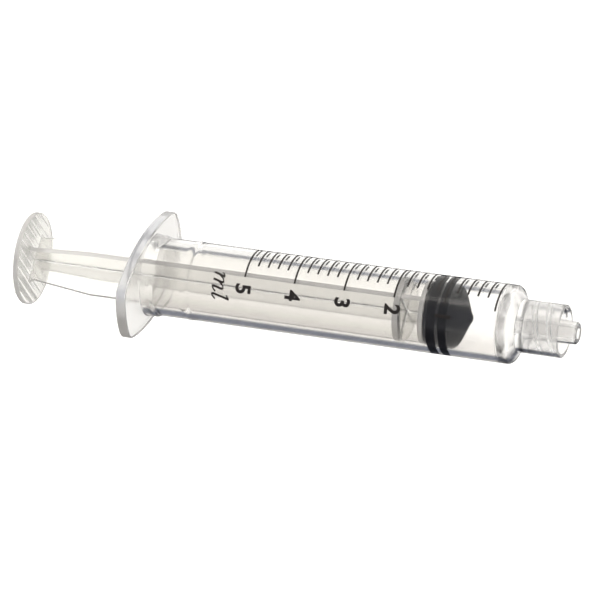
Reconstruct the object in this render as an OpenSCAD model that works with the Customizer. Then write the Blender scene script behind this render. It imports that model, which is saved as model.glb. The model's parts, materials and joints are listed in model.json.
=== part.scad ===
// Three-piece Luer lock syringe of 5 ml.
// X runs along the syringe, towards the tip. The middle of the tip's end face is at the origin,
// so every station along the syringe is negative. The printed scale faces up, the wings lie along Y.

/* [Barrel] */
// Outer diameter of the barrel
barrel_od = 14.0; // [13.6:0.1:15]
// Diameter of the bore
bore_d = 11.7; // [11.4:0.1:12]
// From the tip's end back to the zero mark
zero_back = 13.6; // [13.4:0.1:15]
// From the zero mark back to the rear face of the flange
zero_to_flange = 67.9; // [66:0.1:72]
// From the zero mark back to the ring in the bore that keeps the plunger in
zero_to_bead = 57.75; // [57:0.05:60]
// Radius that rounds the front edge of the barrel
shoulder_round = 1.0; // [0.6:0.1:1.4]
// Height of that ring inside the bore
bead_h = 0.23; // [0.1:0.01:0.25]

/* [Finger flange] */
// Length over both wings
flange_span = 28; // [24:0.5:34]
// Depth across the middle of the flange
flange_depth = 15.8; // [15.6:0.1:18]
// Thickness of the flange
flange_t = 1.9; // [1.5:0.1:2.5]
// Radius of the flange's two long, gently bowed sides
flange_side_r = 31.5; // [28:0.5:40]
// Radius of the flange's four corners
flange_corner_r = 3.4; // [2.5:0.1:4]

/* [Luer tip and lock collar] */
// Diameter of the tip at its end
tip_d = 3.96; // [3.92:0.01:4.03]
// Growth in the tip's diameter for each millimetre back from its end
luer_taper = 0.06; // [0.05:0.005:0.06]
// Diameter of the fluid path through the tip
lumen_d = 2.0; // [1.6:0.1:2.2]
// Outer diameter of the collar
collar_od = 9.4; // [9.2:0.1:10]
// Diameter at the root of the collar's thread
thread_root_d = 8.0; // [7.9:0.05:8.2]
// Diameter at the crest of the collar's thread
thread_crest_d = 7.1; // [7:0.05:7.4]
// From the tip's end back to the collar's rim
collar_rim_back = 2.5; // [2.1:0.1:3]
// From the tip's end back to the floor of the collar
collar_floor_back = 9.2; // [9:0.1:9.6]
// Advance of the collar's thread in one turn
thread_lead = 5.0; // [4.8:0.1:5.2]

/* [Plunger rod] */
// Volume that the plunger stands at, in millilitres
set_volume = 0.9; // [0.1:0.1:4.9]
// Turn of the rod about its own axis
rod_turn = 30; // [0:1:90]
// Thickness of the rod's four ribs
rib_t = 0.8; // [0.6:0.1:1.2]
// Radius over the ribs
rib_r = 5.5; // [5:0.05:5.55]
// Radius over the ribs at the thumb rest
rib_rear_r = 4.1; // [3.5:0.1:5]
// Length over which the ribs widen ahead of the thumb rest
rib_taper_l = 12; // [8:0.5:16]
// From the stopper's rear face back to the guide disc
guide_back = 4.4; // [3:0.1:6]
// From the barrel's rear face back to the thumb rest's front face
thumb_back = 21.05; // [20:0.05:26]
// Diameter of the thumb rest
thumb_d = 16.6; // [14:0.1:18]
// Thickness of the thumb rest without its ridges
thumb_t = 1.0; // [0.8:0.1:1.6]
// Distance from one ridge of the thumb rest to the next
ridge_pitch = 1.53; // [1.2:0.01:2]
// Height of the ridges
ridge_h = 0.22; // [0.1:0.02:0.4]

/* [Stopper] */
// Gap between the stopper's rings and the bore
seal_gap = 0.02; // [0.02:0.01:0.08]
// Length of the cone on the stopper's front
cone_l = 2.85; // [2.5:0.05:3]
// Length of the stopper behind its cone
stopper_body_l = 4.9; // [4.7:0.1:6]

/* [Printed scale] */
// Number of millilitres on the scale
capacity = 5; // [1:1:5]
// Number of minor spaces in a millilitre
minor_spaces = 5; // [2:1:10]
// Width of a printed line
line_w = 0.35; // [0.2:0.05:0.5]
// First and last angle of the long marks, from the top towards the reader
major_from = -49.5; // [-60:0.5:-30]
major_to = 37.5; // [25:0.5:50]
// First and last angle of the short marks
minor_from = -37.5; // [-45:0.5:-20]
minor_to = 17.5; // [5:0.5:24]

/* [Hidden] */
$fn = 96;

barrel_r = barrel_od / 2;
bore_r = bore_d / 2;
ml_length = 1000 / (PI * pow(bore_r, 2));
zero_x = -zero_back;
flange_x = zero_x - zero_to_flange;
flange_front_x = flange_x + flange_t;

// The front wall is a shallow cone inside, parallel to the stopper's cone, and slopes outside
wall_gap = 0.2;
cone_slope = cone_l / bore_r;
shoulder_slope = 0.5;
shoulder_angle = atan(1 / shoulder_slope);
shoulder_ahead = 1.5;
shoulder_x = zero_x + shoulder_ahead;
slope_r = barrel_r - shoulder_round * (1 - cos(shoulder_angle));
slope_x = shoulder_x + shoulder_round * sin(shoulder_angle);
collar_r = collar_od / 2;
collar_fillet = 0.3;
collar_base_r = collar_r + collar_fillet;
collar_base_x = slope_x + (slope_r - collar_base_r) * shoulder_slope;

// The barrel is thicker next to the flange, with a small fillet against it
base_r = barrel_r + 0.35;
base_l = 1.7;
base_run = 0.6;
flange_fillet = 0.5;
mouth_chamfer = 0.5;

// Where the retaining bead stands, and the faint swelling it leaves outside
bead_x = zero_x - zero_to_bead;
bead_half = 0.6;
bead_top_half = 0.2;
swell_h = 0.1;
swell_half = 0.8;

lumen_r = lumen_d / 2;
tip_r = tip_d / 2;
tip_chamfer = 0.3;
tip_root_r = tip_r + collar_floor_back * luer_taper / 2;
thread_root_r = thread_root_d / 2;
thread_crest_r = thread_crest_d / 2;
rim_chamfer = 0.25;

// The thread: two starts, each a wedge-shaped ridge that runs a little over one turn
thread_starts = 2;
thread_turn = 400;
thread_step = 20;
thread_run = thread_lead * thread_turn / 360;
thread_inset = 0.6;
thread_front_x = -collar_rim_back - thread_inset;
ridge_root_half = 0.45;
ridge_crest_half = 0.15;
ridge_sink = 0.1;

stopper_x = zero_x - set_volume * ml_length;
stopper_rear_x = stopper_x - stopper_body_l;
ring_r = bore_r - seal_gap;
land_r = bore_r - 0.35;
cone_foot_r = bore_r - 0.2;
apex_flat_r = 0.9;
// Two broad rings press on the bore, with a narrow groove between them
rear_taper = 0.75;
groove_from = stopper_rear_x + 2.45;
groove_to = groove_from + 0.4;
groove_r = bore_r - 0.25;
ring_edge = 0.3;

// The rod's head sits loose in the stopper and the neck passes through its rear wall
fit_gap = 0.06;
neck_r = 2.0;
head_r = 3.2;
head_l = 2.2;
stopper_wall = 1.1;
cavity_front_x = stopper_rear_x + stopper_wall + head_l + 2 * fit_gap;

end_disc_r = 5.5;
end_disc_t = 0.9;
end_disc_x = stopper_rear_x - fit_gap;
guide_disc_r = bore_r - 0.07;
guide_disc_t = 1.2;
guide_disc_x = stopper_rear_x - guide_back;
guide_chamfer = 0.15;
thumb_front_x = flange_x - thumb_back;
thumb_rear_x = thumb_front_x - thumb_t;
thumb_r = thumb_d / 2;
thumb_edge = 0.2;
rib_flare = 0.9;
rib_full_x = thumb_front_x + rib_taper_l;
ridge_w = 0.55;
ridge_count = 5;

ink_sink = 0.03;
ink_proud = 0.02;

// Points of an arc about [cx, cy]
function arc(cx, cy, r, from, to, steps = 8) =
    [for (i = [0 : steps])
        let (a = from + (to - from) * i / steps)
        [cx + r * cos(a), cy + r * sin(a)]];

// Solid of revolution about the X axis, from points of [radius, station]
module turned(outline)
    rotate([0, 90, 0])
        rotate_extrude()
            polygon(outline);

// One quarter of the flange's outline is a long side, a corner and half of a wing's end, all tangent
side_centre = flange_depth / 2 - flange_side_r;
wing_reach = flange_span / 2 - flange_corner_r;
side_reach = flange_side_r - flange_corner_r;
corner_z = (pow(side_centre, 2) + pow(wing_reach, 2) - pow(side_reach, 2)) / (2 * side_centre);
corner_y = sqrt(pow(wing_reach, 2) - pow(corner_z, 2));
side_turn = atan2(corner_z - side_centre, corner_y);
wing_turn = atan2(corner_z, corner_y);

function flange_half(turn) =
    [for (p = concat(
            arc(0, 0, flange_span / 2, -wing_turn, wing_turn, 6),
            arc(corner_y, corner_z, flange_corner_r, wing_turn, side_turn, 10),
            arc(0, side_centre, flange_side_r, side_turn, 180 - side_turn, 16),
            arc(-corner_y, corner_z, flange_corner_r, 180 - side_turn, 180 - wing_turn, 10)))
        [p.x * cos(turn) - p.y * sin(turn), p.x * sin(turn) + p.y * cos(turn)]];

// Outside of the barrel, its tip and its collar, then back along the inside
barrel_outline = concat(
    [[base_r + flange_fillet, flange_x],
     [base_r + flange_fillet, flange_front_x]],
    [[base_r, flange_front_x + flange_fillet],
     [base_r, flange_front_x + base_l],
     [barrel_r, flange_front_x + base_l + base_run]],
    [[barrel_r, bead_x - swell_half],
     [barrel_r + swell_h, bead_x - bead_top_half],
     [barrel_r + swell_h, bead_x + bead_top_half],
     [barrel_r, bead_x + swell_half]],
    arc(barrel_r - shoulder_round, shoulder_x, shoulder_round, 0, shoulder_angle),
    arc(collar_base_r, collar_base_x + collar_fillet, collar_fillet, 270, 180, 4),
    [[collar_r, -collar_rim_back - rim_chamfer],
     [collar_r - rim_chamfer, -collar_rim_back],
     [thread_root_r + rim_chamfer, -collar_rim_back],
     [thread_root_r, -collar_rim_back - rim_chamfer]],
    [[thread_root_r, -collar_floor_back],
     [tip_root_r, -collar_floor_back],
     [tip_r + tip_chamfer * luer_taper / 2, -tip_chamfer],
     [tip_r - tip_chamfer, 0],
     [lumen_r, 0]],
    [[lumen_r, zero_x + wall_gap + (bore_r - lumen_r) * cone_slope],
     [bore_r, zero_x + wall_gap]],
    [[bore_r, bead_x + bead_half],
     [bore_r - bead_h, bead_x + bead_top_half],
     [bore_r - bead_h, bead_x - bead_top_half],
     [bore_r, bead_x - bead_half]],
    [[bore_r, flange_x + mouth_chamfer],
     [bore_r + mouth_chamfer, flange_x]]);

// One start of the collar's thread
module thread_ridge() {
    rings = thread_turn / thread_step;
    section = [[thread_root_r + ridge_sink, -ridge_root_half],
               [thread_crest_r, -ridge_crest_half],
               [thread_crest_r, ridge_crest_half],
               [thread_root_r + ridge_sink, ridge_root_half]];
    points = [for (i = [0 : rings], p = section)
        let (a = i * thread_step)
        [p.y - thread_run * i / rings, p.x * cos(a), -p.x * sin(a)]];
    sides = [for (i = [0 : rings - 1], k = [0 : 3])
        let (next = (k + 1) % 4)
        [4 * i + k, 4 * i + next, 4 * i + 4 + next, 4 * i + 4 + k]];
    ends = [[3, 2, 1, 0], [for (k = [0 : 3]) 4 * rings + k]];
    polyhedron(points, concat(sides, ends));
}

module barrel()
    color([0.88, 0.90, 0.92, 0.45]) {
        turned(barrel_outline);
        difference() {
            translate([flange_x, 0, 0])
                rotate([90, 0, 90])
                    linear_extrude(flange_t)
                        polygon(concat(flange_half(0), flange_half(180)));
            translate([flange_x - 1, 0, 0])
                rotate([0, 90, 0])
                    cylinder(h = flange_t + 2, r = bore_r + mouth_chamfer);
        }
        for (i = [0 : thread_starts - 1])
            translate([thread_front_x, 0, 0])
                rotate([i * 360 / thread_starts, 0, 0])
                    thread_ridge();
    }

// A printed line round the barrel at a station, between two angles from the top
module mark(station, from, to)
    translate([station, 0, 0])
        rotate([0, -90, 0])
            rotate([0, 0, -to])
                rotate_extrude(angle = to - from)
                    translate([barrel_r - ink_sink, -line_w / 2])
                        square([ink_sink + ink_proud, line_w]);

module major_graduations()
    color([0.13, 0.09, 0.08])
        for (ml = [0 : capacity])
            mark(zero_x - ml * ml_length, major_from, major_to);

module minor_graduations()
    color([0.13, 0.09, 0.08])
        for (ml = [0 : capacity - 1], part = [1 : minor_spaces - 1])
            mark(zero_x - (ml + part / minor_spaces) * ml_length, minor_from, minor_to);

module stopper()
    color([0.20, 0.20, 0.23])
        turned(concat(
            [[neck_r + fit_gap, stopper_rear_x],
             [land_r, stopper_rear_x],
             [ring_r, stopper_rear_x + rear_taper],
             [ring_r, groove_from - ring_edge],
             [groove_r, groove_from]],
            [[groove_r, groove_to],
             [ring_r, groove_to + ring_edge],
             [ring_r, stopper_x - 2 * ring_edge],
             [cone_foot_r, stopper_x]],
            [[apex_flat_r, stopper_x + (cone_foot_r - apex_flat_r) * cone_slope],
             [0, stopper_x + (cone_foot_r - apex_flat_r / 2) * cone_slope]],
            [[0, cavity_front_x],
             [head_r + fit_gap, cavity_front_x],
             [head_r + fit_gap, stopper_rear_x + stopper_wall],
             [neck_r + fit_gap, stopper_rear_x + stopper_wall]]));

// One of the two crossed plates that make the four ribs
module rib_plate() {
    half = [[thumb_front_x - thumb_t / 2, rib_rear_r + rib_flare],
            [thumb_front_x, rib_rear_r + rib_flare],
            [thumb_front_x + rib_flare / 3, rib_rear_r + rib_flare / 3],
            [thumb_front_x + rib_flare, rib_rear_r],
            [rib_full_x, rib_r],
            [end_disc_x - end_disc_t / 2, rib_r]];
    mirrored = [for (i = [len(half) - 1 : -1 : 0]) [half[i].x, -half[i].y]];
    rotate([90, 0, 0])
        linear_extrude(rib_t, center = true)
            polygon(concat(half, mirrored));
}

module plunger_rod()
    color([0.90, 0.90, 0.89])
        rotate([rod_turn, 0, 0]) {
            rib_plate();
            rotate([90, 0, 0])
                rib_plate();
            turned([[0, thumb_rear_x],
                    [thumb_r - thumb_edge, thumb_rear_x],
                    [thumb_r, thumb_rear_x + thumb_edge],
                    [thumb_r, thumb_front_x - thumb_edge],
                    [thumb_r - thumb_edge, thumb_front_x],
                    [0, thumb_front_x]]);
            intersection() {
                for (i = [-ridge_count : ridge_count])
                    translate([thumb_rear_x - ridge_h, i * ridge_pitch - ridge_w / 2, -thumb_r])
                        cube([ridge_h + thumb_t / 2, ridge_w, 2 * thumb_r]);
                translate([thumb_rear_x - 1, 0, 0])
                    rotate([0, 90, 0])
                        cylinder(h = 2, r = thumb_r - thumb_edge);
            }
            turned([[0, guide_disc_x - guide_disc_t],
                    [guide_disc_r - guide_chamfer, guide_disc_x - guide_disc_t],
                    [guide_disc_r, guide_disc_x - guide_disc_t + guide_chamfer],
                    [guide_disc_r, guide_disc_x - guide_chamfer],
                    [guide_disc_r - guide_chamfer, guide_disc_x],
                    [0, guide_disc_x]]);
            turned([[0, end_disc_x - end_disc_t],
                    [end_disc_r, end_disc_x - end_disc_t],
                    [end_disc_r, end_disc_x],
                    [neck_r, end_disc_x],
                    [neck_r, stopper_rear_x + stopper_wall + fit_gap],
                    [head_r, stopper_rear_x + stopper_wall + fit_gap],
                    [head_r, stopper_rear_x + stopper_wall + fit_gap + head_l / 2],
                    [head_r / 2, stopper_rear_x + stopper_wall + fit_gap + head_l],
                    [0, stopper_rear_x + stopper_wall + fit_gap + head_l]]);
        }

barrel();
major_graduations();
minor_graduations();
stopper();
plunger_rod();
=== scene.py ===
"""Looks of a 5 ml Luer lock syringe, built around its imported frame.

The barrel, stopper, plunger rod and print are modelled with bmesh operators. The stage is a
pale floor under soft studio light.
"""

import json
from math import atan2, cos, degrees, hypot, pi, radians, sin, sqrt

import bmesh
import bpy
from mathutils import Matrix, Vector


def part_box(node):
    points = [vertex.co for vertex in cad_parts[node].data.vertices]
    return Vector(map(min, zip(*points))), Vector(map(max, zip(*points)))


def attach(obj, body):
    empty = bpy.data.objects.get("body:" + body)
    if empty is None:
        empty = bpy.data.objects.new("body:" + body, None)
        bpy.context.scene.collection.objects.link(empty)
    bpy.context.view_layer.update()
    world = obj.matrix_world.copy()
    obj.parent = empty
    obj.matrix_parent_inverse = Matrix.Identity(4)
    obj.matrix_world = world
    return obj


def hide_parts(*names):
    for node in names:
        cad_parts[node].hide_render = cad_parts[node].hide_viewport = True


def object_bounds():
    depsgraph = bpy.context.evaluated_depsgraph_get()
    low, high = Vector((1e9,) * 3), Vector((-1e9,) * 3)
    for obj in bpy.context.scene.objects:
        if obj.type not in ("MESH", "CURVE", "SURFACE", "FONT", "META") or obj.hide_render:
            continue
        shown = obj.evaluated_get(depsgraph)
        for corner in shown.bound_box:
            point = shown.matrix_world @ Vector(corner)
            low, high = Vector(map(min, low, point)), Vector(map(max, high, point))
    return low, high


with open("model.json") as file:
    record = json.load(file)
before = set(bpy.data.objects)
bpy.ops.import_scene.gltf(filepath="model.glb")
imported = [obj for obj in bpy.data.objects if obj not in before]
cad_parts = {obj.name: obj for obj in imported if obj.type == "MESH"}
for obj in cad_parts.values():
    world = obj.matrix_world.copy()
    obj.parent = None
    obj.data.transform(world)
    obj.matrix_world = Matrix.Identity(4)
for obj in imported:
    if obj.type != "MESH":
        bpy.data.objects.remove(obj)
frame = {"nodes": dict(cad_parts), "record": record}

bl_info = {
    "name": "Luer lock syringe",
    "version": (1, 0, 0),
    "blender": (4, 5, 0),
    "location": "View3D > Sidebar > Syringe",
    "description": "Builds a clear graduated syringe with its plunger, stopper and print",
    "category": "Add Mesh",
}

MM = 0.001


# ---------------------------------------------------------------- the frame's own sizes

def mount(name):
    """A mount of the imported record."""
    return next(m for m in frame["record"]["mounts"] if m["name"] == name)


CAD_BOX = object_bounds()
BARREL_LOW, BARREL_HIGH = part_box("barrel")
MAJOR_LOW, MAJOR_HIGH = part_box("major_graduations")
STOPPER_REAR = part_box("stopper")[0].x
ROD_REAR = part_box("plunger_rod")[0].x
BARREL_RADIUS = mount("barrel_outside")["dims"]["r_mm"] * MM
FLANGE_FRONT = mount("finger_rest_left")["pos_m"][0]
LINE_WIDTH = 0.35 * MM
ZERO_X = MAJOR_HIGH.x - LINE_WIDTH / 2
MARKED_ML = 5
ML_LENGTH = (MAJOR_HIGH.x - MAJOR_LOW.x - LINE_WIDTH) / MARKED_ML
CUBIC_MM_IN_ML = 1000
BORE_RADIUS = sqrt(CUBIC_MM_IN_ML / (pi * ML_LENGTH / MM)) * MM


# ---------------------------------------------------------------- sizes of the mouldings

FLANGE_CORNER = 3.4 * MM        # radius of the flange's corners
FLANGE_SIDE = 31.5 * MM         # radius of the flange's long sides
FLANGE_FOOT = 0.5 * MM          # from the barrel's outside to where the flange's front starts
MOUTH_ROUND = 0.5 * MM          # radius that rounds the bore's mouth
RIM_ROUND = 0.2 * MM            # radius that rounds the collar's rim
NOSE_SLOPE = 0.5                # advance of the nose for each unit that its radius shrinks
TIP_TAPER = 0.03                # growth of the tip's radius for each unit of length
BEAD_X = ZERO_X - 57.75 * MM    # the retaining ring's station
CONE_LENGTH_MM = 2.85           # the stopper's cone, which the bore's front wall matches

THUMB_RADIUS = 8.3 * MM         # radius of the thumb rest
PACKED_RIDGE = 0.22 * MM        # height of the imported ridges, behind the thumb rest's disc
RIDGES_A_SIDE = 5               # ridges on each side of the middle one
RIDGE_MARGIN = 0.35 * MM        # from the ends of the ridges out to the thumb rest's edge
RIB_TAPER = 12 * MM             # length over which the ribs widen
GUIDE_BACK = 4.4 * MM           # from the stopper back to the guide disc
GUIDE_THICKNESS = 1.2 * MM
GUIDE_GAP = 0.07 * MM           # from the guide disc's edge out to the bore
END_THICKNESS = 0.9 * MM
END_RADIUS = 5.6 * MM
END_GAP = 0.03 * MM             # from the end disc to the stopper

AROUND = 256                    # segments round the barrel
AROUND_PLUNGER = 128            # segments round the stopper and the rod's discs
THREAD_STEPS = 50               # steps along the collar's inner wall
EDGE_STEPS = 5                  # steps round the flange's edge
LONG_STRETCH = 0.6 * MM         # a longer stretch of a profile gets a guard point at each end
GUARD = 0.04 * MM               # from a guard point to its corner
PRINT_CUTS = 12                 # strips that a printed sign is cut into, so that it bends
THIN_STROKE = 0.45              # thinnest stroke of the pen, as a share of the thickest
PEN_STEPS = 8                   # steps from one point of a pen stroke to the next

FLOOR_REACH = 4.0               # from the floor's middle to its sides, in metres
AIM = Vector((0.19, -0.45, -0.75)) * MM     # the camera's target, from the syringe's middle


# ---------------------------------------------------------------- settings

def length(name, description, default_mm):
    """A length setting whose default is given in millimetres."""
    return bpy.props.FloatProperty(
        name=name, description=description, default=default_mm * MM,
        min=0.0, unit="LENGTH", precision=5)


def angle(name, description, default_degrees):
    """An angle setting whose default is given in degrees."""
    return bpy.props.FloatProperty(
        name=name, description=description, default=radians(default_degrees),
        subtype="ANGLE")


def colour(name, description, hex_value):
    """A colour setting from an sRGB hex value."""
    return bpy.props.FloatVectorProperty(
        name=name, description=description, default=linear(hex_value),
        size=4, min=0.0, max=1.0, subtype="COLOR")


def factor(name, description, default, top=1.0):
    """A plain number setting."""
    return bpy.props.FloatProperty(
        name=name, description=description, default=default, min=0.0, max=top)


def linear(hex_value):
    """An sRGB hex colour as linear red, green, blue and alpha."""
    def channel(shift):
        c = (hex_value >> shift & 255) / 255
        return c / 12.92 if c <= 0.04045 else ((c + 0.055) / 1.055) ** 2.4
    return (channel(16), channel(8), channel(0), 1.0)


class SyringeBarrelSettings(bpy.types.PropertyGroup):
    shoulder_round: length("Shoulder round", "Radius that rounds the front edge", 1.0)
    collar_radius: length("Collar radius", "Outer radius of the lock collar", 4.7)
    thread_root: length("Thread root", "Radius at the root of the collar's thread", 4.0)
    thread_crest: length("Thread crest", "Radius at the crest of the collar's thread", 3.55)
    thread_lead: length("Thread lead", "Advance of the thread in one turn", 5.0)
    rim_back: length("Rim set-back", "From the tip's end back to the collar's rim", 2.5)
    floor_back: length("Floor set-back", "From the tip's end back to the collar's floor", 9.2)
    tip_radius: length("Tip radius", "Radius of the tip at its end", 1.98)
    lumen_radius: length("Lumen radius", "Radius of the fluid path", 1.0)
    bead_height: length("Bead height", "Height of the retaining ring in the bore", 0.12)
    bead_reach: length("Bead reach", "Half the length of the retaining ring", 1.0)
    edge_round: length("Flange edge", "Radius that rounds the flange's edges", 0.28)
    tint: colour("Tint", "Colour of the clear polypropylene", 0xFAF9F8)
    haze: factor("Haze", "Roughness of the moulded surface", 0.07)
    bore_haze: factor("Bore haze", "Roughness inside the bore", 0.09)
    milk: factor("Milk", "Share of the light that the tube's wall scatters", 0.004)
    thick_tint: colour("Thick tint", "Colour of the thick tip and flange", 0xFCFBFA)
    thick_milk: factor("Thick milk", "Share of the light that they scatter", 0.11)
    thick_haze: factor("Thick haze", "Extra roughness of the thick tip and flange", 0.12)
    rim_milk: factor("Rim milk", "Extra share that the flange's rim scatters", 0.35)
    # Painted shade: a grey laid on the flange's rim.
    rim_tint: colour("Rim tint", "Colour of the flange's rim, seen through its width", 0xC0C1C6)
    # Painted shade: a grey laid on the wall where it is seen edge on.
    edge_tint: colour("Edge tint", "Colour of the walls seen edge on", 0xB4B6BA)
    # Painted shade: a grey laid on the wall's lower half.
    lower_tint: colour("Lower tint", "Colour of the wall's lower half", 0xC6C3BF)
    # Painted shadow: a dark blue-grey laid along the wall's lower edge.
    under_tint: colour("Under tint", "Colour of the wall's shaded lower edge", 0x32353F)


class SyringeRodSettings(bpy.types.PropertyGroup):
    turn: angle("Turn", "Turn of the rod about its own axis", 30)
    rib_thickness: length("Rib thickness", "Thickness of the four ribs", 0.8)
    rib_radius: length("Rib radius", "Radius over the ribs", 5.5)
    rib_rear_radius: length("Rear rib radius", "Radius over the ribs at the thumb rest", 4.1)
    thumb_thickness: length("Thumb rest", "Thickness without the ridges", 1.0)
    ridge_pitch: length("Ridge pitch", "Distance from ridge to ridge", 1.53)
    ridge_width: length("Ridge width", "Width of one ridge", 0.7)
    ridge_height: length("Ridge height", "Height of the ridges", 0.07)
    edge_round: length("Edge", "Radius that rounds the moulding's edges", 0.14)
    tint: colour("Tint", "Colour of the translucent polypropylene", 0xFBFAF7)
    # Painted shade: a grey laid on the ribs where they are seen edge on.
    edge_tint: colour("Edge tint", "Colour of the ribs seen edge on", 0xB4B1AD)
    # Painted shade: a grey laid on the ribs' outer edges.
    end_tint: colour("End tint", "Colour of the ribs' edges, seen through their width", 0xC6C4C2)
    haze: factor("Haze", "Roughness of the moulded surface", 0.14)
    grip_haze: factor("Grip haze", "Extra roughness of the thumb rest", 0.08)
    milk: factor("Milk", "Share of the light that the plastic scatters", 0.1)
    grip_milk: factor("Grip milk", "Share of the light that the thumb rest scatters", 0.2)
    end_milk: factor("End milk", "Extra share that the ribs' edges scatter", 0.35)


class SyringeStopperSettings(bpy.types.PropertyGroup):
    squeeze: length("Squeeze", "How far the rings press into the bore's wall", 0.02)
    rear_drop: length("Rear step", "From the bore in to the edge of the rear face", 0.35)
    cone_length: length("Cone", "Length of the cone on the front", CONE_LENGTH_MM)
    rubber: colour("Rubber", "Colour of the black rubber", 0x1D1B21)


class SyringePrintSettings(bpy.types.PropertyGroup):
    numeral_height: length("Numerals", "Height of the numerals", 2.93)
    numeral_weight: factor("Numeral weight", "How far the numerals' outlines are fattened", 0.03)
    numeral_angle: angle("Numeral angle", "From the top of the barrel to the numerals", 55)
    unit_height: length("Unit sign", "Height of the unit sign", 3.4)
    unit_back: length("Unit place", "From the zero mark back to the unit sign", 50.7)
    nib: factor("Nib", "Width of the unit sign's pen, in heights of its small letters", 0.23)
    nib_turn: angle("Nib turn", "Turn of the pen's nib", 15)
    slant: factor("Slant", "Lean of the unit sign", 0.28)
    film: length("Film", "How far the ink stands proud of the wall", 0.02)
    sink: length("Sink", "How far the ink reaches into the wall", 0.03)
    ink: colour("Ink", "Colour of the ink", 0x150E0B)


class SyringeStageSettings(bpy.types.PropertyGroup):
    floor: colour("Floor", "Colour of the floor", 0xFFFFFF)
    floor_drop: length("Floor drop", "From the syringe down to the floor", 90)
    room: colour("Room", "Colour of the room", 0xFFFEFA)
    room_dim: colour("Dim side", "Colour of the room on the camera's side", 0xA6A8AD)
    room_under: colour("Underside", "What a gloss sees below the level of the floor", 0x50545C)
    room_strength: factor("Room strength", "Brightness of the room", 1.05, 4.0)
    azimuth: angle("Azimuth", "Direction of the camera, from the tip's side", -66.82)
    elevation: angle("Elevation", "Height of the camera above level", 35.2)
    roll: angle("Roll", "Roll of the camera", -6.0)
    distance: length("Distance", "From the target to the camera", 1041.4)
    lens: bpy.props.FloatProperty(
        name="Lens", description="Focal length on a 36 mm sensor", default=352.45, min=1.0)


# ---------------------------------------------------------------- materials

SMOOTH = {"interpolation_type": "SMOOTHSTEP"}


def add_node(material, kind, settings=None, inputs=None, links=None):
    """Adds a node with its settings, its socket values and the sockets that feed it."""
    node = material.node_tree.nodes.new(kind)
    for key, value in (settings or {}).items():
        setattr(node, key, value)
    for key, value in (inputs or {}).items():
        node.inputs[key].default_value = value
    for key, source in (links or {}).items():
        material.node_tree.links.new(source, node.inputs[key])
    return node


def new_material(name):
    """An empty material and its object coordinates."""
    material = bpy.data.materials.new(name)
    material.use_nodes = True
    material.node_tree.nodes.clear()
    place = add_node(material, "ShaderNodeTexCoord")
    return material, place.outputs["Object"]


def finish_material(material, shader):
    """Joins a shader to a material's output."""
    add_node(material, "ShaderNodeOutputMaterial", links={"Surface": shader.outputs["BSDF"]})
    return material


def layered(material, base, layers):
    """Lays tints over a base tint in turn, each where its own mask is 1."""
    values, sources = {"A": base}, {}
    for mask, tint in layers:
        mix = add_node(material, "ShaderNodeMix", {"data_type": "RGBA"},
                       inputs={"B": tint, **values}, links={"Factor": mask, **sources})
        values, sources = {}, {"A": mix.outputs["Result"]}
    return sources["A"]


def overlap(material, *masks):
    """1 where all of several masks are 1."""
    shared = masks[0]
    for mask in masks[1:]:
        product = add_node(material, "ShaderNodeMath", {"operation": "MULTIPLY"},
                           links={0: shared, 1: mask})
        shared = product.outputs["Value"]
    return shared


def grazing(material, start, end):
    """Goes from 0 to 1 as a surface turns from one facing value to another; 1 is edge on."""
    weight = add_node(material, "ShaderNodeLayerWeight", inputs={"Blend": 0.5})
    edge = add_node(material, "ShaderNodeMapRange", SMOOTH,
                    inputs={"From Min": start, "From Max": end},
                    links={"Value": weight.outputs["Facing"]})
    return edge.outputs["Result"]


def across_axis(material, place):
    """The way from the syringe's axis out to a place."""
    across = add_node(material, "ShaderNodeVectorMath", {"operation": "MULTIPLY"},
                      inputs={1: (0, 1, 1)}, links={0: place})
    return across.outputs["Vector"]


def outward(material, place):
    """1 where light enters a surface that faces away from the syringe's axis, 0 elsewhere."""
    away = add_node(material, "ShaderNodeVectorMath", {"operation": "NORMALIZE"},
                    links={0: across_axis(material, place)})
    normal = add_node(material, "ShaderNodeTexCoord")
    along = add_node(material, "ShaderNodeVectorMath", {"operation": "DOT_PRODUCT"},
                     links={0: away.outputs["Vector"], 1: normal.outputs["Normal"]})
    edge = add_node(material, "ShaderNodeMapRange", SMOOTH,
                    inputs={"From Min": 0.6, "From Max": 0.9},
                    links={"Value": along.outputs["Value"]})
    return edge.outputs["Result"]


def thick_parts(material, place):
    """1 at the tip and at the flange, 0 along the tube."""
    along = add_node(material, "ShaderNodeSeparateXYZ", links={"Vector": place})
    tip = add_node(material, "ShaderNodeMapRange", SMOOTH,
                   inputs={"From Min": ZERO_X, "From Max": ZERO_X + 2.5 * MM},
                   links={"Value": along.outputs["X"]})
    flange = add_node(material, "ShaderNodeMapRange", SMOOTH,
                      inputs={"From Min": FLANGE_FRONT + 3 * MM, "From Max": FLANGE_FRONT},
                      links={"Value": along.outputs["X"]})
    thick = add_node(material, "ShaderNodeMath", {"operation": "MAXIMUM"},
                     links={0: tip.outputs["Result"], 1: flange.outputs["Result"]})
    return thick.outputs["Value"]


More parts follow.
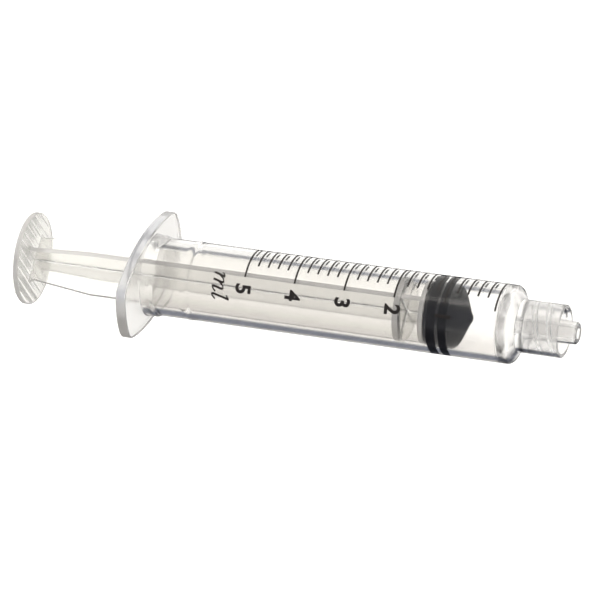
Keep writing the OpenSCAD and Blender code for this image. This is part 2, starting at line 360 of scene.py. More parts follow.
def clear_polypropylene(settings):
    """Clarified polypropylene from a polished mould: glassy, with a faint uneven haze from flow.

    The thick tip and flange scatter more light than the tube's thin wall. Painted shade greys the
    wall where it is seen edge on, on the flange's rim and on its lower half; a painted shadow
    darkens its lower edge.
    """
    material, place = new_material("clear_polypropylene")
    flow = add_node(material, "ShaderNodeTexNoise", inputs={"Scale": 0.18 / MM, "Detail": 3.0},
                    links={"Vector": place})
    uneven = add_node(material, "ShaderNodeMapRange", inputs={"To Min": 0.5, "To Max": 1.5},
                      links={"Value": flow.outputs["Fac"]})
    ripple = add_node(material, "ShaderNodeBump",
                      inputs={"Strength": 0.04, "Distance": 0.2 * MM},
                      links={"Height": flow.outputs["Fac"]})

    thick = thick_parts(material, place)
    away = outward(material, place)
    radius = add_node(material, "ShaderNodeVectorMath", {"operation": "LENGTH"},
                      links={0: across_axis(material, place)})
    outside = add_node(material, "ShaderNodeMapRange",
                       inputs={"From Min": BORE_RADIUS + 0.3 * MM, "From Max": BARREL_RADIUS},
                       links={"Value": radius.outputs["Value"]})
    beyond = add_node(material, "ShaderNodeMapRange",
                      inputs={"From Min": BARREL_RADIUS + 0.4 * MM,
                              "From Max": BARREL_RADIUS + 0.8 * MM},
                      links={"Value": radius.outputs["Value"]})
    normal = add_node(material, "ShaderNodeTexCoord")
    facing = add_node(material, "ShaderNodeSeparateXYZ",
                      links={"Vector": normal.outputs["Normal"]})
    # low is 1 on the wall's lower half, where painted shade is laid.
    low = add_node(material, "ShaderNodeMapRange", SMOOTH,
                   inputs={"From Min": 0.6, "From Max": -0.1},
                   links={"Value": facing.outputs["Z"]})
    # under is 1 where the wall faces down; with the facing range below it masks the painted
    # shadow.
    under = add_node(material, "ShaderNodeMapRange", SMOOTH,
                     inputs={"From Min": 0.05, "From Max": -0.3},
                     links={"Value": facing.outputs["Z"]})

    rim = overlap(material, beyond.outputs["Result"], away)
    # Painted shadow: a band along the tube's lower edge, kept off the flange.
    shadow_band = overlap(material, under.outputs["Result"], grazing(material, start=0.41, end=0.53),
                   grazing(material, start=0.84, end=0.68))
    tube_shadow_band = add_node(material, "ShaderNodeMath", {"operation": "SUBTRACT", "use_clamp": True},
                         links={0: shadow_band, 1: beyond.outputs["Result"]})
    body = layered(material, settings.tint, (
        (thick, settings.thick_tint),
        # Painted shade where the wall is seen edge on.
        (overlap(material, outside.outputs["Result"], grazing(material, start=0.8, end=0.97)),
         settings.edge_tint),
        # Painted shade on the flange's rim.
        (rim, settings.rim_tint),
        # Painted shade on the wall's lower half.
        (overlap(material, low.outputs["Result"], away, outside.outputs["Result"]),
         settings.lower_tint),
        # Painted shadow along the tube's lower edge.
        (tube_shadow_band.outputs["Value"], settings.under_tint)))

    polish = add_node(material, "ShaderNodeMapRange",
                      inputs={"To Min": settings.bore_haze, "To Max": settings.haze},
                      links={"Value": outside.outputs["Result"]})
    patchy = add_node(material, "ShaderNodeMath", {"operation": "MULTIPLY"},
                      links={0: polish.outputs["Result"], 1: uneven.outputs["Result"]})
    haze = add_node(material, "ShaderNodeMath", {"operation": "MULTIPLY_ADD"},
                    inputs={1: settings.thick_haze},
                    links={0: thick, 2: patchy.outputs["Value"]})
    through = add_node(material, "ShaderNodeMapRange",
                       inputs={"To Min": 1.0 - settings.milk,
                               "To Max": 1.0 - settings.thick_milk},
                       links={"Value": thick})
    clarity = add_node(material, "ShaderNodeMath", {"operation": "MULTIPLY_ADD"},
                       inputs={1: -settings.rim_milk},
                       links={0: rim, 2: through.outputs["Result"]})
    shader = add_node(material, "ShaderNodeBsdfPrincipled",
                      inputs={"IOR": 1.49, "Specular IOR Level": 0.27},
                      links={"Base Color": body,
                             "Transmission Weight": clarity.outputs["Value"],
                             "Roughness": haze.outputs["Value"],
                             "Normal": ripple.outputs["Normal"]})
    return finish_material(material, shader)


def translucent_polypropylene(settings):
    """Natural polypropylene as moulded: milky, light passes through it blurred.

    The thumb rest is duller and milkier. The ribs' edges scatter more light, and painted shade
    greys them and the ribs where they are seen edge on.
    """
    material, place = new_material("translucent_polypropylene")
    grain = add_node(material, "ShaderNodeTexNoise", inputs={"Scale": 0.9 / MM, "Detail": 4.0},
                     links={"Vector": place})
    haze = add_node(material, "ShaderNodeMapRange",
                    inputs={"To Min": settings.haze * 0.7, "To Max": settings.haze * 1.3},
                    links={"Value": grain.outputs["Fac"]})
    skin = add_node(material, "ShaderNodeBump",
                    inputs={"Strength": 0.08, "Distance": 0.05 * MM},
                    links={"Height": grain.outputs["Fac"]})
    along = add_node(material, "ShaderNodeSeparateXYZ", links={"Vector": place})
    grip = add_node(material, "ShaderNodeMapRange", SMOOTH,
                    inputs={"From Min": ROD_REAR + 2.2 * MM, "From Max": ROD_REAR + 1.2 * MM},
                    links={"Value": along.outputs["X"]})
    texture = add_node(material, "ShaderNodeMath", {"operation": "MULTIPLY_ADD"},
                       inputs={1: settings.grip_haze},
                       links={0: grip.outputs["Result"], 2: haze.outputs["Result"]})
    ends = outward(material, place)
    through = add_node(material, "ShaderNodeMapRange",
                       inputs={"To Min": 1.0 - settings.milk, "To Max": 1.0 - settings.grip_milk},
                       links={"Value": grip.outputs["Result"]})
    clarity = add_node(material, "ShaderNodeMath", {"operation": "MULTIPLY_ADD"},
                       inputs={1: -settings.end_milk},
                       links={0: ends, 2: through.outputs["Result"]})
    # Painted shade on the ribs seen edge on and on their edges.
    body = layered(material, settings.tint, (
        (grazing(material, start=0.7, end=0.95), settings.edge_tint),
        (ends, settings.end_tint)))
    shader = add_node(material, "ShaderNodeBsdfPrincipled",
                      inputs={"IOR": 1.49, "Specular IOR Level": 0.25},
                      links={"Base Color": body,
                             "Transmission Weight": clarity.outputs["Value"],
                             "Roughness": texture.outputs["Value"],
                             "Normal": skin.outputs["Normal"]})
    return finish_material(material, shader)


def black_rubber(settings):
    """Moulded rubber with a silicone film: near black, dull, with a fine mould texture."""
    material, place = new_material("black_rubber")
    grain = add_node(material, "ShaderNodeTexNoise", inputs={"Scale": 2.5 / MM, "Detail": 3.0},
                     links={"Vector": place})
    sheen = add_node(material, "ShaderNodeMapRange",
                     inputs={"To Min": 0.6, "To Max": 0.8},
                     links={"Value": grain.outputs["Fac"]})
    skin = add_node(material, "ShaderNodeBump",
                    inputs={"Strength": 0.15, "Distance": 0.03 * MM},
                    links={"Height": grain.outputs["Fac"]})
    shader = add_node(material, "ShaderNodeBsdfPrincipled",
                      inputs={"Base Color": settings.rubber, "IOR": 1.52,
                              "Specular IOR Level": 0.08},
                      links={"Roughness": sheen.outputs["Result"],
                             "Normal": skin.outputs["Normal"]})
    return finish_material(material, shader)


def scale_ink(settings):
    """Screen-printed ink: dark brown-black, dull, a little paler where it thins."""
    material, place = new_material("scale_ink")
    cover = add_node(material, "ShaderNodeTexNoise", inputs={"Scale": 3 / MM, "Detail": 2.0},
                     links={"Vector": place})
    thin_ink = [min(1.0, c * 1.6) for c in settings.ink[:3]] + [1.0]
    shade = add_node(material, "ShaderNodeMix", {"data_type": "RGBA"},
                     inputs={"A": settings.ink, "B": thin_ink},
                     links={"Factor": cover.outputs["Fac"]})
    shader = add_node(material, "ShaderNodeBsdfPrincipled",
                      inputs={"IOR": 1.5, "Roughness": 0.5},
                      links={"Base Color": shade.outputs["Result"]})
    return finish_material(material, shader)


def backdrop_paper(settings):
    """Matt white backdrop paper: even, with no gloss."""
    material, _ = new_material("backdrop_paper")
    shader = add_node(material, "ShaderNodeBsdfPrincipled",
                      inputs={"Base Color": settings.floor, "Roughness": 0.9,
                              "Specular IOR Level": 0.1})
    return finish_material(material, shader)


def studio_world(settings):
    """A white room that is dimmer on the side that the camera stands, and dark underneath."""
    world = bpy.data.worlds.new("studio")
    world.use_nodes = True
    world.node_tree.nodes.clear()
    place = add_node(world, "ShaderNodeTexCoord")
    across = add_node(world, "ShaderNodeSeparateXYZ", links={"Vector": place.outputs["Generated"]})
    front = add_node(world, "ShaderNodeMapRange", SMOOTH,
                     inputs={"From Min": 0.1, "From Max": -0.6},
                     links={"Value": across.outputs["Y"]})
    below = add_node(world, "ShaderNodeMapRange", SMOOTH,
                     inputs={"From Min": -0.02, "From Max": -0.25},
                     links={"Value": across.outputs["Z"]})
    room = layered(world, settings.room, (
        (front.outputs["Result"], settings.room_dim),
        (below.outputs["Result"], settings.room_under)))
    glow = add_node(world, "ShaderNodeBackground", inputs={"Strength": settings.room_strength},
                    links={"Color": room})
    add_node(world, "ShaderNodeOutputWorld", links={"Surface": glow.outputs["Background"]})
    return world


# ---------------------------------------------------------------- mesh helpers

def beside(x, r, *offsets_mm):
    """Points given by their offsets, in millimetres, from a station and a radius."""
    return [(x + along * MM, r + out * MM) for along, out in offsets_mm]


def arc(x, r, radius, start, end, steps=8):
    """Points of (station, radius) on an arc, its angles in degrees from +X towards outwards."""
    return [(x + radius * cos(radians(start + (end - start) * i / steps)),
             r + radius * sin(radians(start + (end - start) * i / steps)))
            for i in range(steps + 1)]


def guarded(profile):
    """Adds a point close to each end of every long stretch, so that its shading stays true."""
    points = [profile[0]]
    for (xa, ra), (xb, rb) in zip(profile, profile[1:]):
        run = hypot(xb - xa, rb - ra)
        if run > LONG_STRETCH:
            near = GUARD / run
            points += [(xa + (xb - xa) * t, ra + (rb - ra) * t) for t in (near, 1 - near)]
        points.append((xb, rb))
    return points


def spin_profile(bm, profile, segments):
    """Spins a profile of (station, radius) points about the syringe's axis."""
    verts = [bm.verts.new((x, 0, r)) for x, r in guarded(profile)]
    edges = [bm.edges.new(pair) for pair in zip(verts, verts[1:])]
    bmesh.ops.spin(bm, geom=verts + edges, cent=(0, 0, 0), axis=(1, 0, 0),
                   angle=2 * pi, steps=segments, use_merge=True)
    bmesh.ops.remove_doubles(bm, verts=bm.verts, dist=0.5e-6)


def extruded_ring(bm, ring):
    """Extrudes a ring of edges and returns the new ring."""
    grown = bmesh.ops.extrude_edge_only(bm, edges=ring)["geom"]
    return [g for g in grown if isinstance(g, bmesh.types.BMEdge) and g.is_boundary]


def raised_faces(bm):
    """Extrudes all of a bmesh's faces as one region and returns the new points."""
    grown = bmesh.ops.extrude_face_region(bm, geom=bm.faces[:])["geom"]
    return [g for g in grown if isinstance(g, bmesh.types.BMVert)]


def open_loop_at(bm, x, radius):
    """The open edges that lie on a circle about the axis."""
    return [e for e in bm.edges if e.is_boundary and all(
        abs(v.co.x - x) < 1e-6 and abs(hypot(v.co.y, v.co.z) - radius) < 1e-5
        for v in e.verts)]


def object_from(bm, name):
    """A scene object that holds a bmesh, its normals turned outwards."""
    bmesh.ops.recalc_face_normals(bm, faces=bm.faces)
    mesh = bpy.data.meshes.new(name)
    bm.to_mesh(mesh)
    bm.free()
    holder = bpy.data.objects.new(name, mesh)
    bpy.context.scene.collection.objects.link(holder)
    return holder


def make_piece(bm, name, body, material, replaces=(), crease=28.0):
    """Turns a closed bmesh into a smooth piece that rides on a body."""
    piece = object_from(bm, name)
    piece.data.shade_smooth()
    piece.data.set_sharp_from_angle(angle=radians(crease))
    piece.data.materials.append(material)
    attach(piece, body)
    if replaces:
        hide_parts(*replaces)
    return piece


# ---------------------------------------------------------------- barrel

def flange_radius(turn, inset):
    """Distance from the axis to the flange's edge, in a direction from the wings, less an inset.

    The outline is three arcs to a quarter: the wing's end, a corner and a long side.
    """
    turn = atan2(abs(sin(turn)), abs(cos(turn)))
    reach = BARREL_HIGH.y
    side_middle = BARREL_HIGH.z - FLANGE_SIDE
    to_corner = reach - FLANGE_CORNER
    corner_z = (side_middle ** 2 + to_corner ** 2 - (FLANGE_SIDE - FLANGE_CORNER) ** 2) \
        / (2 * side_middle)
    corner_y = sqrt(to_corner ** 2 - corner_z ** 2)
    side_turn = atan2(corner_z - side_middle, corner_y)
    corner_end = atan2(corner_z + FLANGE_CORNER * sin(side_turn),
                       corner_y + FLANGE_CORNER * cos(side_turn))
    if turn < atan2(corner_z, corner_y):
        return reach - inset
    if turn < corner_end:
        middle, radius = (corner_y, corner_z), FLANGE_CORNER - inset
    else:
        middle, radius = (0.0, side_middle), FLANGE_SIDE - inset
    along = middle[0] * cos(turn) + middle[1] * sin(turn)
    return along + sqrt(along ** 2 - middle[0] ** 2 - middle[1] ** 2 + radius ** 2)


def outside_profile(s):
    """The outside of the barrel, from the flange's foot to the collar's rim."""
    outer = BARREL_RADIUS
    foot = outer + FLANGE_FOOT
    foot_round = 0.2 * MM
    points = [(FLANGE_FRONT, foot + GUARD)]
    points += arc(FLANGE_FRONT + foot_round, foot, foot_round, 180, 270, 5)
    points += beside(FLANGE_FRONT, outer, (1.7, 0.3), (1.85, 0.26), (2.2, 0.03), (2.4, 0))
    points += beside(BEAD_X, outer, (-0.9, 0), (-0.45, 0.04), (0, 0.1), (0.45, 0.04), (0.9, 0))
    nose_turn = 90 - degrees(atan2(1, NOSE_SLOPE))
    points += arc(ZERO_X + 1.5 * MM, outer - s.shoulder_round, s.shoulder_round,
                  90, nose_turn, 10)
    nose_x, nose_r = points[-1]
    fillet = 0.3 * MM
    collar_foot = nose_x + (nose_r - s.collar_radius - fillet) * NOSE_SLOPE
    points += arc(collar_foot + fillet, s.collar_radius + fillet, fillet, 240, 270, 4)
    rim = -s.rim_back - RIM_ROUND
    points += arc(rim, s.collar_radius - RIM_ROUND, RIM_ROUND, 90, 0, 5)
    points += arc(rim, s.thread_root + RIM_ROUND, RIM_ROUND, 0, -90, 5)
    return points


def tip_profile(s):
    """The collar's inner wall and floor, and the tip with the start of its fluid path."""
    corner = 0.3 * MM
    root_round = 0.25 * MM
    tip_edge = 0.3 * MM
    rim = -s.rim_back - RIM_ROUND
    floor = -s.floor_back
    wall_end = floor + corner
    tip_root = s.tip_radius + TIP_TAPER * s.floor_back
    points = [(rim + (wall_end - rim) * i / THREAD_STEPS, s.thread_root)
              for i in range(1, THREAD_STEPS + 1)]
    points += arc(wall_end, s.thread_root - corner, corner, 90, 180, 4)[1:]
    points += arc(floor + root_round, tip_root + root_round, root_round, 180, 270, 4)
    points += [(-tip_edge, s.tip_radius + TIP_TAPER * tip_edge)]
    points += beside(0, s.tip_radius - tip_edge, (-0.06, 0.1), (0, 0))
    points += beside(0, s.lumen_radius, (0, 0.1), (-0.1, 0))
    return points


def bore_profile(s):
    """The front wall's cone, the bore, its retaining ring and its mouth."""
    bore = BORE_RADIUS
    wall = ZERO_X + 0.2 * MM
    cone_slope = CONE_LENGTH_MM * MM / bore
    lumen_x = wall + (bore - s.lumen_radius) * cone_slope
    points = [(lumen_x + 0.3 * MM, s.lumen_radius), (lumen_x - 0.05 * MM, s.lumen_radius * 1.3)]
    points += beside(wall, bore, (0.2, -0.4), (0.02, -0.12), (-0.15, 0))
    points += [(BEAD_X - s.bead_reach * t, bore - s.bead_height * (1 + cos(pi * t)) / 2)
               for t in [-1 + i / 8 for i in range(17)]]
    points += arc(BARREL_LOW.x + MOUTH_ROUND, bore + MOUTH_ROUND, MOUTH_ROUND, 270, 180, 5)
    points += [(BARREL_LOW.x, bore + MOUTH_ROUND + GUARD)]
    return points


def cut_thread(bm, s):
    """Raises the thread on the collar's inner wall, fading at both its ends."""
    starts = 2
    half_width = 0.5 * MM
    flank = 0.3 * MM
    depth = s.thread_root - s.thread_crest
    front = -s.rim_back - 0.55 * MM
    back = -s.floor_back + 1.0 * MM
    for v in bm.verts:
        r = hypot(v.co.y, v.co.z)
        if abs(r - s.thread_root) > 1e-6 or not back < v.co.x < front:
            continue
        phase = atan2(v.co.z, v.co.y) / (2 * pi) * starts - v.co.x / s.thread_lead * starts
        off = abs((phase % 1.0) - 0.5) * s.thread_lead / starts
        lift = min(1.0, max(0.0, (half_width - off) / flank))
        ends = min(1.0, (front - v.co.x) / flank, (v.co.x - back) / flank)
        scale = (s.thread_root - depth * lift * ends) / r
        v.co.y *= scale
        v.co.z *= scale


def add_flange(bm, s):
    """Grows the flange's rim from a circle and bridges it to the tube's two open ends."""
    front_loop = open_loop_at(bm, FLANGE_FRONT, BARREL_RADIUS + FLANGE_FOOT + GUARD)
    rear_loop = open_loop_at(bm, BARREL_LOW.x, BORE_RADIUS + MOUTH_ROUND + GUARD)
    edge = s.edge_round
    turns = [radians(90 / EDGE_STEPS * i) for i in range(EDGE_STEPS + 1)]
    stations = [(FLANGE_FRONT, edge + GUARD)]
    stations += [(FLANGE_FRONT - edge * (1 - cos(a)), edge * (1 - sin(a))) for a in turns]
    stations += [(FLANGE_FRONT - edge - GUARD, 0.0), (BARREL_LOW.x + edge + GUARD, 0.0)]
    stations += [(BARREL_LOW.x + edge * (1 - cos(a)), edge * (1 - sin(a)))
                 for a in reversed(turns)]
    stations += [(BARREL_LOW.x, edge + GUARD)]
    circle = bmesh.ops.create_circle(bm, segments=AROUND, radius=1.0,
                                     matrix=Matrix.Rotation(pi / 2, 4, "Y"))
    first = list({e for v in circle["verts"] for e in v.link_edges})
    ring = first
    for i, (x, inset) in enumerate(stations):
        if i:
            ring = extruded_ring(bm, ring)
        for v in {v for e in ring for v in e.verts}:
            turn = atan2(v.co.z, v.co.y)
            reach = flange_radius(turn, inset)
            v.co = (x, reach * cos(turn), reach * sin(turn))
    bmesh.ops.bridge_loops(bm, edges=front_loop + first)
    bmesh.ops.bridge_loops(bm, edges=rear_loop + ring)


class SYRINGE_OT_barrel(bpy.types.Operator):
    """Builds the clear barrel with its flange, tip and lock collar"""
    bl_idname = "syringe.barrel"
    bl_label = "Barrel"

    def execute(self, context):
        s = context.scene.syringe_barrel
        bm = bmesh.new()
        spin_profile(bm, outside_profile(s) + tip_profile(s) + bore_profile(s), AROUND)
        cut_thread(bm, s)
        add_flange(bm, s)
        if any(e.is_boundary for e in bm.edges):
            raise RuntimeError("the barrel is not closed")
        make_piece(bm, "syringe_barrel", "barrel",
                   clear_polypropylene(s), ["barrel"])
        return {"FINISHED"}


# ---------------------------------------------------------------- stopper

def stopper_profile(s):
    """The stopper's rear face, two rings with a groove between them, and cone."""
    rear = STOPPER_REAR
    ring = BORE_RADIUS + s.squeeze
    groove = BORE_RADIUS - 0.12 * MM
    rear_round = 0.3 * MM
    rear_edge = BORE_RADIUS - s.rear_drop - rear_round
    cone_x = rear + 4.9 * MM
    cone_r = BORE_RADIUS - 0.2 * MM
    apex_r = 1.1 * MM
    apex_x = cone_x + (cone_r - apex_r) * s.cone_length / BORE_RADIUS
    points = [(rear, 0.0), (rear, rear_edge)]
    points += arc(rear + rear_round, rear_edge, rear_round, 180, 100, 5)
    points += beside(rear, ring, (0.55, -0.08), (0.72, -0.02), (0.88, 0), (2.3, 0), (2.4, -0.03))
    points += beside(rear, groove, (2.48, 0.05), (2.58, 0), (2.72, 0), (2.82, 0.05))
    points += beside(rear, ring, (2.9, -0.03), (3.0, 0), (4.35, 0), (4.5, -0.03), (4.66, -0.12))
    points += beside(cone_x, cone_r, (-0.1, 0), (0.08, -0.14), (0.25, -0.42))
    points += [(apex_x, apex_r), (apex_x + 0.25 * MM, apex_r * 0.72),
               (apex_x + 0.4 * MM, apex_r * 0.4), (apex_x + 0.45 * MM, 0.0)]
    return points


class SYRINGE_OT_stopper(bpy.types.Operator):
    """Builds the black rubber stopper with its two rings and its cone"""
    bl_idname = "syringe.stopper"
    bl_label = "Stopper"

    def execute(self, context):
        s = context.scene.syringe_stopper
        bm = bmesh.new()
        spin_profile(bm, stopper_profile(s), AROUND_PLUNGER)
        make_piece(bm, "rubber_stopper", "stopper",
                   black_rubber(s), ["stopper"], crease=40)
        return {"FINISHED"}


# ---------------------------------------------------------------- plunger rod

def disc(x_from, x_to, radius, edge):
    """A closed disc about the axis, its rims rounded."""
    bm = bmesh.new()
    points = [(x_from, 0.0)]
    points += arc(x_from + edge, radius - edge, edge, 180, 90, 3)
    points += arc(x_to - edge, radius - edge, edge, 90, 0, 3)
    points += [(x_to, 0.0)]
    spin_profile(bm, points, AROUND_PLUNGER)
    return bm


def stem(s, thumb_front, end):
    """The cross-shaped stem: one closed solid, its ribs widening ahead of the thumb rest."""
    half = s.rib_thickness / 2
    rear = s.rib_rear_radius
    stations = beside(thumb_front - s.thumb_thickness / 2, rear, (0, 0.9))
    stations += beside(thumb_front, rear, (0, 0.9), (0.12, 0.55), (0.35, 0.22), (0.9, 0))
    stations += [(thumb_front + RIB_TAPER, s.rib_radius), (end, s.rib_radius)]
    # A rib's end starts at 1.0, well past its flank, and moves to its place at each station.
    corners = []
    for k in range(4):
        turn = Matrix.Rotation(k * pi / 2, 3, "X")
        corners += [turn @ Vector((0, half, half)), turn @ Vector((0, half, 1.0)),
                    turn @ Vector((0, -half, 1.0))]
    bm = bmesh.new()
    outline = [bm.verts.new(c) for c in corners]
    ring = [bm.edges.new(pair) for pair in zip(outline, outline[1:] + outline[:1])]
    bmesh.ops.edgeloop_fill(bm, edges=ring)
    for i, (x, reach) in enumerate(stations):
        if i:
            ring = extruded_ring(bm, ring)
        for v in {v for e in ring for v in e.verts}:
            y, z = v.co.y, v.co.z
            if abs(z) > 1.01 * half:
                z = reach if z > 0 else -reach
            if abs(y) > 1.01 * half:
                y = reach if y > 0 else -reach
            v.co = (x, y, z)
    bmesh.ops.edgeloop_fill(bm, edges=ring)
    return bm


def thumb_ridges(s, thumb_rear):
    """The ridges behind the thumb rest: flat elliptical bars, sunk so that only a cap shows."""
    ridges = []
    for k in range(-RIDGES_A_SIDE, RIDGES_A_SIDE + 1):
        offset = k * s.ridge_pitch
        reach = sqrt((THUMB_RADIUS - RIDGE_MARGIN) ** 2 - offset ** 2)
        bar = bmesh.new()
        bmesh.ops.create_circle(bar, cap_ends=True, segments=32, radius=1.0)
        bmesh.ops.scale(bar, verts=bar.verts,
                        vec=(2 * s.ridge_height, s.ridge_width / sqrt(3), 1.0))
        bmesh.ops.translate(bar, verts=raised_faces(bar), vec=(0, 0, 2 * reach))
        bmesh.ops.translate(bar, verts=bar.verts,
                            vec=(thumb_rear + s.ridge_height, offset, -reach))
        ridges.append(object_from(bar, "ridge"))
    return ridges


def fuse(target, others):
    """Joins closed solids into one moulding, which stays in the first one's object."""
    for other in others:
        join = target.modifiers.new("join", "BOOLEAN")
        join.operation = "UNION"
        join.solver = "EXACT"
        join.object = other
        depsgraph = bpy.context.evaluated_depsgraph_get()
        joined = bpy.data.meshes.new_from_object(target.evaluated_get(depsgraph))
        target.modifiers.clear()
        target.data = joined
        bpy.data.objects.remove(other)


class SYRINGE_OT_plunger_rod(bpy.types.Operator):
    """Builds the plunger rod with its ribs, discs and ridged thumb rest"""
    bl_idname = "syringe.plunger_rod"
    bl_label = "Plunger rod"

    def execute(self, context):
        s = context.scene.syringe_rod
        thumb_rear = ROD_REAR + PACKED_RIDGE
        thumb_front = thumb_rear + s.thumb_thickness
        guide = STOPPER_REAR - GUIDE_BACK
        end = STOPPER_REAR - END_GAP
        rod = object_from(stem(s, thumb_front, end - 0.4 * MM), "plunger_rod_moulding")
        discs = [
            object_from(disc(thumb_rear, thumb_front, THUMB_RADIUS, 0.2 * MM), "thumb"),
            object_from(disc(guide - GUIDE_THICKNESS, guide, BORE_RADIUS - GUIDE_GAP,
                             0.15 * MM), "guide"),
            object_from(disc(end - END_THICKNESS, end, END_RADIUS, 0.1 * MM), "end"),
        ]
        fuse(rod, discs + thumb_ridges(s, thumb_rear))
        bm = bmesh.new()
        bm.from_mesh(rod.data)
        bpy.data.objects.remove(rod)
        bmesh.ops.remove_doubles(bm, verts=bm.verts, dist=1e-6)
        bmesh.ops.dissolve_limit(bm, angle_limit=radians(0.5), verts=bm.verts, edges=bm.edges)
        bmesh.ops.rotate(bm, verts=bm.verts, matrix=Matrix.Rotation(s.turn, 3, "X"))
        piece = make_piece(bm, "plunger_rod_moulding", "plunger_rod",
                           translucent_polypropylene(s),
                           ["plunger_rod"])
        soften = piece.modifiers.new("edges", "BEVEL")
        soften.width = s.edge_round
        soften.segments = 2
        soften.limit_method = "ANGLE"
        soften.angle_limit = radians(40)
        soften.use_clamp_overlap = True
        soften.harden_normals = True
        return {"FINISHED"}


# ---------------------------------------------------------------- print

def wrap_on_barrel(bm, x_middle, turn):
    """Bends flat print round the barrel: its Y becomes the syringe's X, its X runs round."""
    for v in bm.verts:
        across, up, lift = v.co
        a = turn + across / BARREL_RADIUS
        r = BARREL_RADIUS + lift
        v.co = (x_middle + up, -r * sin(a), r * cos(a))


def ink_film(bm, s, height):
    """Makes flat print a closed film of a given height, centred, cut finely enough to bend."""
    low = min(v.co.y for v in bm.verts)
    high = max(v.co.y for v in bm.verts)
    left = min(v.co.x for v in bm.verts)
    right = max(v.co.x for v in bm.verts)
    scale = height / (high - low)
    bmesh.ops.translate(bm, verts=bm.verts, vec=(-(left + right) / 2, -(low + high) / 2, 0))
    bmesh.ops.scale(bm, verts=bm.verts, vec=(scale, scale, 1.0))
    width = (right - left) * scale
    for i in range(1, PRINT_CUTS):
        bmesh.ops.bisect_plane(bm, geom=bm.verts[:] + bm.edges[:] + bm.faces[:],
                               plane_co=(width * (i / PRINT_CUTS - 0.5), 0, 0),
                               plane_no=(1, 0, 0), dist=1e-7)
    top = raised_faces(bm)
    for v in bm.verts:
        v.co.z = -s.sink
    for v in top:
        v.co.z = s.film


def numeral(figure, weight):
    """The flat outline of a figure from the built-in typeface."""
    curve = bpy.data.curves.new("print", "FONT")
    curve.body = figure
    curve.offset = weight
    curve.resolution_u = 6
    holder = bpy.data.objects.new("print", curve)
    bpy.context.scene.collection.objects.link(holder)
    depsgraph = bpy.context.evaluated_depsgraph_get()
    mesh = bpy.data.meshes.new_from_object(holder.evaluated_get(depsgraph))
    bpy.data.objects.remove(holder)
    bm = bmesh.new()
    bm.from_mesh(mesh)
    bmesh.ops.remove_doubles(bm, verts=bm.verts, dist=1e-4)
    return bm


def smooth_path(points):
    """A Catmull-Rom curve through points."""
    ends = [points[0]] + list(points) + [points[-1]]
    path = []
    for p0, p1, p2, p3 in zip(ends, ends[1:], ends[2:], ends[3:]):
        for i in range(PEN_STEPS):
            t = i / PEN_STEPS
            path.append(tuple(
                b + 0.5 * t * (c - a + t * (2 * a - 5 * b + 4 * c - d + t * (3 * (b - c) + d - a)))
                for a, b, c, d in zip(p0, p1, p2, p3)))
    return path + [points[-1]]


def pen_stroke(bm, s, points):
    """A stroke of a broad pen along a smooth curve through points, thick across its nib."""
    path = [Vector((x + s.slant * y, y, 0.0)) for x, y in smooth_path(points)]
    pair = None
    for i, p in enumerate(path):
        along = (path[min(i + 1, len(path) - 1)] - path[max(i - 1, 0)]).normalized()
        side = Vector((-along.y, along.x, 0.0))
        across = side.x * cos(s.nib_turn) + side.y * sin(s.nib_turn)
        half = s.nib / 2 * sqrt(across ** 2 + (1 - across ** 2) * THIN_STROKE ** 2)
        if pair is None:
            pair = [bm.verts.new(p), bm.verts.new(p)]
            bm.edges.new(pair)
        else:
            grown = bmesh.ops.extrude_edge_only(bm, edges=[bm.edges.get(pair)])["geom"]
            new = [g for g in grown if isinstance(g, bmesh.types.BMVert)]
            pair = sorted(new, key=lambda v: bm.edges.get((v, pair[0])) is None)
        pair[0].co, pair[1].co = p + side * half, p - side * half


def unit_sign(s):
    """The flat strokes of the millilitre sign, in a slanted script; 1 is the height of an m."""
    bm = bmesh.new()
    feet = (0.0, 0.6, 1.2, 1.9)
    entry = [(-0.3, 0.8), (-0.13, 0.96), (0.0, 1.0), (0.0, 0.5), (0.0, 0.0)]
    arch = [(-0.6, 0.5), (-0.36, 0.9), (-0.13, 1.0), (0.0, 0.82), (0.0, 0.4)]
    tail = [(0.04, 0.07), (0.2, 0.0), (0.46, 0.3)]
    tall = [(-0.3, 1.36), (-0.12, 1.5), (0.0, 1.56), (0.0, 1.0), (0.0, 0.4)]
    for foot, shape in zip(feet, (entry, arch + [(0.0, 0.0)], arch + tail, tall + tail)):
        pen_stroke(bm, s, [(foot + x, y) for x, y in shape])
    return bm


class SYRINGE_OT_scale(bpy.types.Operator):
    """Inks the graduations and prints the numerals and the unit"""
    bl_idname = "syringe.scale"
    bl_label = "Printed scale"

    def execute(self, context):
        s = context.scene.syringe_print
        ink = scale_ink(s)
        for node in ("major_graduations", "minor_graduations"):
            mesh = frame["nodes"][node].data
            mesh.materials.clear()
            mesh.materials.append(ink)
        for ml in range(1, MARKED_ML + 1):
            bm = numeral(str(ml), s.numeral_weight)
            ink_film(bm, s, s.numeral_height)
            wrap_on_barrel(bm, ZERO_X - ml * ML_LENGTH, s.numeral_angle)
            make_piece(bm, f"numeral_{ml}", "barrel", ink)
        bm = unit_sign(s)
        ink_film(bm, s, s.unit_height)
        wrap_on_barrel(bm, ZERO_X - s.unit_back, s.numeral_angle)
        make_piece(bm, "unit_sign", "barrel", ink)
        return {"FINISHED"}


# ---------------------------------------------------------------- stage

def add_floor(s, low):
    """A square floor below the syringe, hidden from gloss, which sees a dark underside instead."""
    bm = bmesh.new()
    bmesh.ops.create_grid(bm, x_segments=1, y_segments=1, size=FLOOR_REACH)
    bmesh.ops.translate(bm, verts=bm.verts, vec=(0, 0, low - s.floor_drop))
    mesh = bpy.data.meshes.new("floor")
    bm.to_mesh(mesh)
    bm.free()
    mesh.materials.append(backdrop_paper(s))
    floor = bpy.data.objects.new("floor", mesh)
    bpy.context.scene.collection.objects.link(floor)
    floor.visible_glossy = False


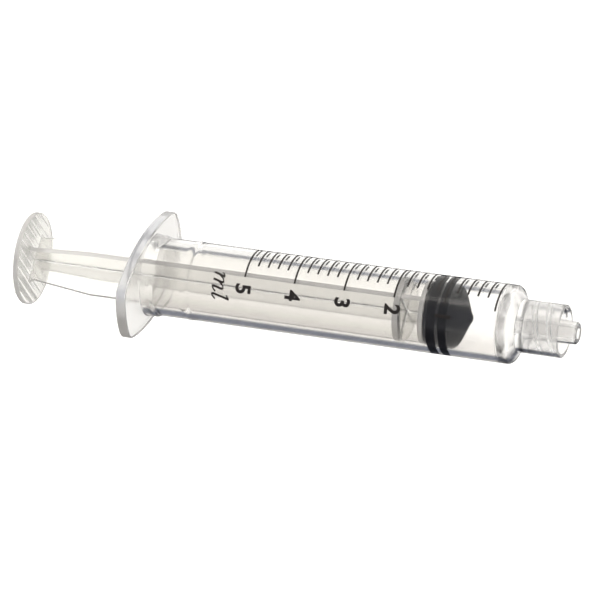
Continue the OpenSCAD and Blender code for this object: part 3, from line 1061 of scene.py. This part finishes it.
def soft_box(name, target, turn, distance, size, power, tint):
    """A rectangular soft light that faces a target, turned from overhead about the syringe."""
    light = bpy.data.lights.new(name, "AREA")
    light.shape = "RECTANGLE"
    light.size, light.size_y = size
    light.energy = power
    light.color = tint[:3]
    lamp = bpy.data.objects.new(name, light)
    direction = Vector((0.0, -sin(turn), cos(turn)))
    lamp.location = target + direction * distance
    lamp.rotation_euler = direction.to_track_quat("Z", "Y").to_euler()
    bpy.context.scene.collection.objects.link(lamp)
    return lamp


def add_camera(s, middle):
    """The camera, turned and rolled about its target, with its far lens."""
    optics = bpy.data.cameras.new("camera")
    optics.lens = s.lens
    optics.sensor_width = 36.0
    optics.clip_end = 100.0
    camera = bpy.data.objects.new("camera", optics)
    direction = Vector((cos(s.elevation) * cos(s.azimuth),
                        cos(s.elevation) * sin(s.azimuth), sin(s.elevation)))
    turn = direction.to_track_quat("Z", "Y").to_matrix() @ Matrix.Rotation(s.roll, 3, "Z")
    camera.location = middle + AIM + direction * s.distance
    camera.rotation_euler = turn.to_euler()
    bpy.context.scene.collection.objects.link(camera)
    bpy.context.scene.camera = camera


class SYRINGE_OT_stage(bpy.types.Operator):
    """Sets the floor, the soft lights and the camera"""
    bl_idname = "syringe.stage"
    bl_label = "Stage"

    def execute(self, context):
        s = context.scene.syringe_stage
        low, high = CAD_BOX
        middle = (Vector(low) + Vector(high)) / 2
        add_floor(s, low[2])
        context.scene.world = studio_world(s)
        context.scene.view_settings.view_transform = "Standard"
        # The ceiling lights the floor and leaves no glare in the plastic.
        ceiling = soft_box("ceiling", middle, turn=0.0, distance=1.2, size=(2.0, 1.4),
                           power=14.0, tint=linear(0xFFFCF7))
        ceiling.visible_glossy = False
        ceiling.visible_transmission = False
        # The strip draws a pale line along the barrel.
        soft_box("strip", middle, turn=radians(10), distance=1.0, size=(1.6, 0.25),
                 power=1.1, tint=linear(0xFFFAF2))
        add_camera(s, middle)
        return {"FINISHED"}


# ---------------------------------------------------------------- the add-on

STEPS = (
    (SYRINGE_OT_stage, "syringe_stage", SyringeStageSettings),
    (SYRINGE_OT_barrel, "syringe_barrel", SyringeBarrelSettings),
    (SYRINGE_OT_stopper, "syringe_stopper", SyringeStopperSettings),
    (SYRINGE_OT_plunger_rod, "syringe_rod", SyringeRodSettings),
    (SYRINGE_OT_scale, "syringe_print", SyringePrintSettings),
)


class SYRINGE_PT_panel(bpy.types.Panel):
    """Lists the syringe's builders and settings"""
    bl_idname = "SYRINGE_PT_panel"
    bl_label = "Syringe"
    bl_space_type = "VIEW_3D"
    bl_region_type = "UI"
    bl_category = "Syringe"

    def draw(self, context):
        for operator, group, settings in STEPS:
            self.layout.operator(operator.bl_idname)
            for key in settings.__annotations__:
                self.layout.prop(getattr(context.scene, group), key)


def register():
    for operator, group, settings in STEPS:
        bpy.utils.register_class(settings)
        setattr(bpy.types.Scene, group, bpy.props.PointerProperty(type=settings))
        bpy.utils.register_class(operator)
    bpy.utils.register_class(SYRINGE_PT_panel)


def unregister():
    bpy.utils.unregister_class(SYRINGE_PT_panel)
    for operator, group, settings in reversed(STEPS):
        bpy.utils.unregister_class(operator)
        delattr(bpy.types.Scene, group)
        bpy.utils.unregister_class(settings)


def main():
    register()
    bpy.ops.syringe.stage()
    bpy.ops.syringe.barrel()
    bpy.ops.syringe.stopper()
    bpy.ops.syringe.plunger_rod()
    bpy.ops.syringe.scale()


if __name__ == "__main__":
    main()
